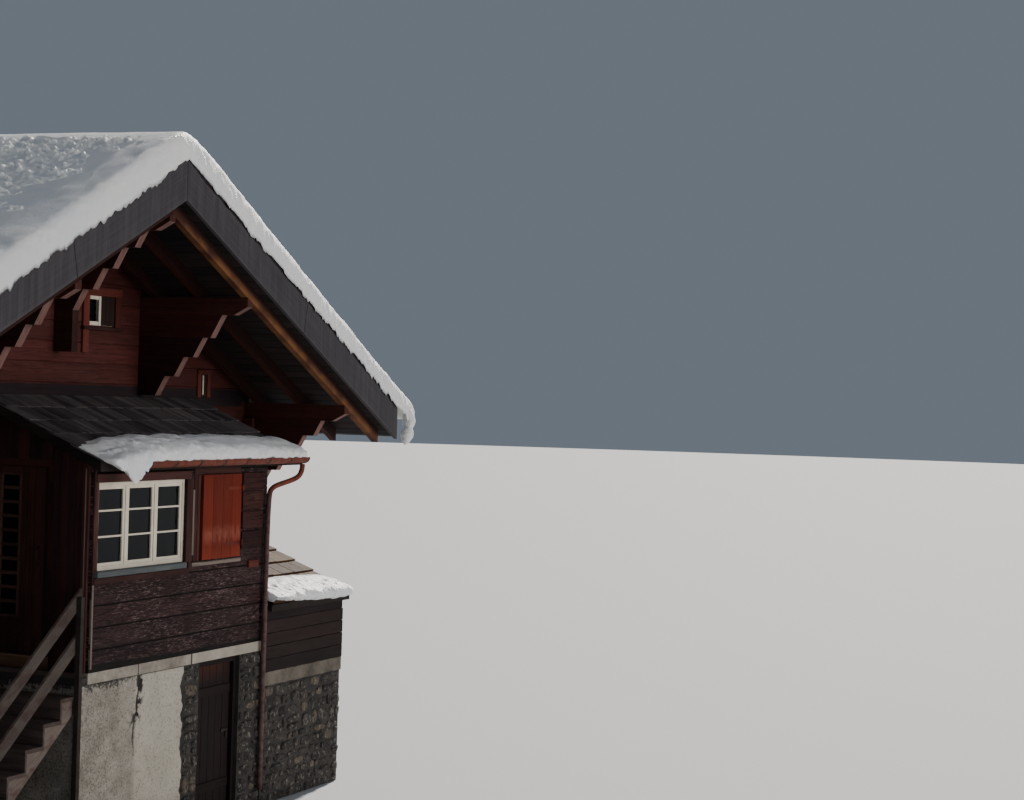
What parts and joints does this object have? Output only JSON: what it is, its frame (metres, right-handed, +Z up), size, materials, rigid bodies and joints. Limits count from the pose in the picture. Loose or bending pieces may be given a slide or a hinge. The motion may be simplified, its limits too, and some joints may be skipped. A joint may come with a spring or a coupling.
{
  "type": "alpine log chalet",
  "caption": "Log chalet on a stone cellar: snow-covered gable roof on stepped log consoles, pent-roofed porch room, low lean-to, outside stair, hinged doors and a window shutter.",
  "frame": {"origin": "on the ground in the middle of the house, under the cellar floor", "axes": "+X runs along the gables, to the right seen from the front; +Y runs from the front gable into the house; +Z is up"},
  "size_m": [10.7083, 11.272, 7.3984],
  "materials": {
    "stone_floor": "rough stone slabs",
    "rubble_stone": "dark rubble stone with pale mortar",
    "limewashed_stone": "old limewashed render over rubble, spotted and cracked",
    "pale_band": "weathered pale band",
    "dark_timber": "dark stained boards",
    "weathered_boards": "weathered purple-brown boards",
    "wood_shingles": "tan wooden shingles",
    "grey_shingles": "grey-brown weathered shingles",
    "snow": "settled snow",
    "floor_boards": "plain boards",
    "squared_logs": "squared logs stained red-brown, cracked and faded",
    "roof_timber": "stained roof timber with pale cut ends",
    "soffit_boards": "dark soffit boards",
    "grey_boards": "grey weathered boards",
    "cream_paint": "cream painted joinery",
    "red_paint": "worn red-orange paint on boards",
    "window_glass": "clear window glass",
    "red_sheet_metal": "red-brown painted gutter sheet",
    "iron": "forged iron"
  },
  "bodies": {
    "house": {"cellar_floor": "stone_floor", "base_wall_front": "rubble_stone", "base_wall_sides": "rubble_stone", "base_wall_back": "rubble_stone", "porch_base_front": "limewashed_stone", "porch_base_sides": "limewashed_stone", "porch_sill_band": "pale_band", "cellar_door_frame": "dark_timber", "lean_to_base": "rubble_stone", "lean_to_walls": "weathered_boards", "lean_to_roof": "wood_shingles", "lean_to_snow": "snow", "main_floor": "floor_boards", "attic_floor": "floor_boards", "gable_wall_front_lower": "squared_logs", "gable_wall_front_upper": "squared_logs", "gable_wall_back_lower": "squared_logs", "gable_wall_back_upper": "squared_logs", "side_wall_left": "squared_logs", "side_wall_right": "squared_logs", "porch_wall_front": "weathered_boards", "porch_wall_left": "weathered_boards", "porch_wall_right": "weathered_boards", "porch_wall_over_door": "weathered_boards", "porch_window_frames": "cream_paint", "porch_window_glass": "window_glass", "entrance_frame": "dark_timber", "hinge_pins": "iron", "porch_roof": "grey_shingles", "porch_snow": "snow", "gutter": "red_sheet_metal", "downpipe": "red_sheet_metal", "ridge_purlin": "roof_timber", "mid_purlins": "roof_timber", "eave_purlins": "roof_timber", "consoles_front": "roof_timber", "consoles_back": "roof_timber", "rafters_left": "roof_timber", "rafters_right": "roof_timber", "roof_left": "soffit_boards", "roof_right": "soffit_boards", "barge_boards_front": "grey_boards", "barge_boards_back": "grey_boards", "roof_snow_left": "snow", "roof_snow_right": "snow", "attic_window_frames": "cream_paint", "attic_window_glass": "window_glass", "house_window_frames": "cream_paint", "house_window_glass": "window_glass", "stair_strings": "grey_boards", "stair_treads": "grey_boards", "stair_railing": "grey_boards"},
    "cellar_door": {"cellar_door": "dark_timber"},
    "entrance_door": {"entrance_door": "dark_timber", "entrance_door_glass": "window_glass"},
    "shutter": {"shutter": "red_paint"}
  },
  "joints": [
    {"name": "cellar_door_hinge", "type": "hinge", "parent": "house", "child": "cellar_door", "pos_m": [0.9575, -5.1742, 0.1], "axis": [0, 0, 1], "range_deg": [0, 90]},
    {"name": "entrance_door_hinge", "type": "hinge", "parent": "house", "child": "entrance_door", "pos_m": [-1.0042, -4.0575, 2], "axis": [0, 0, 1], "range_deg": [0, 90]},
    {"name": "shutter_hinge", "type": "hinge", "parent": "house", "child": "shutter", "pos_m": [1.5975, -5.3888, 2.88], "axis": [0, 0, 1], "range_deg": [0, 170]}
  ]
}
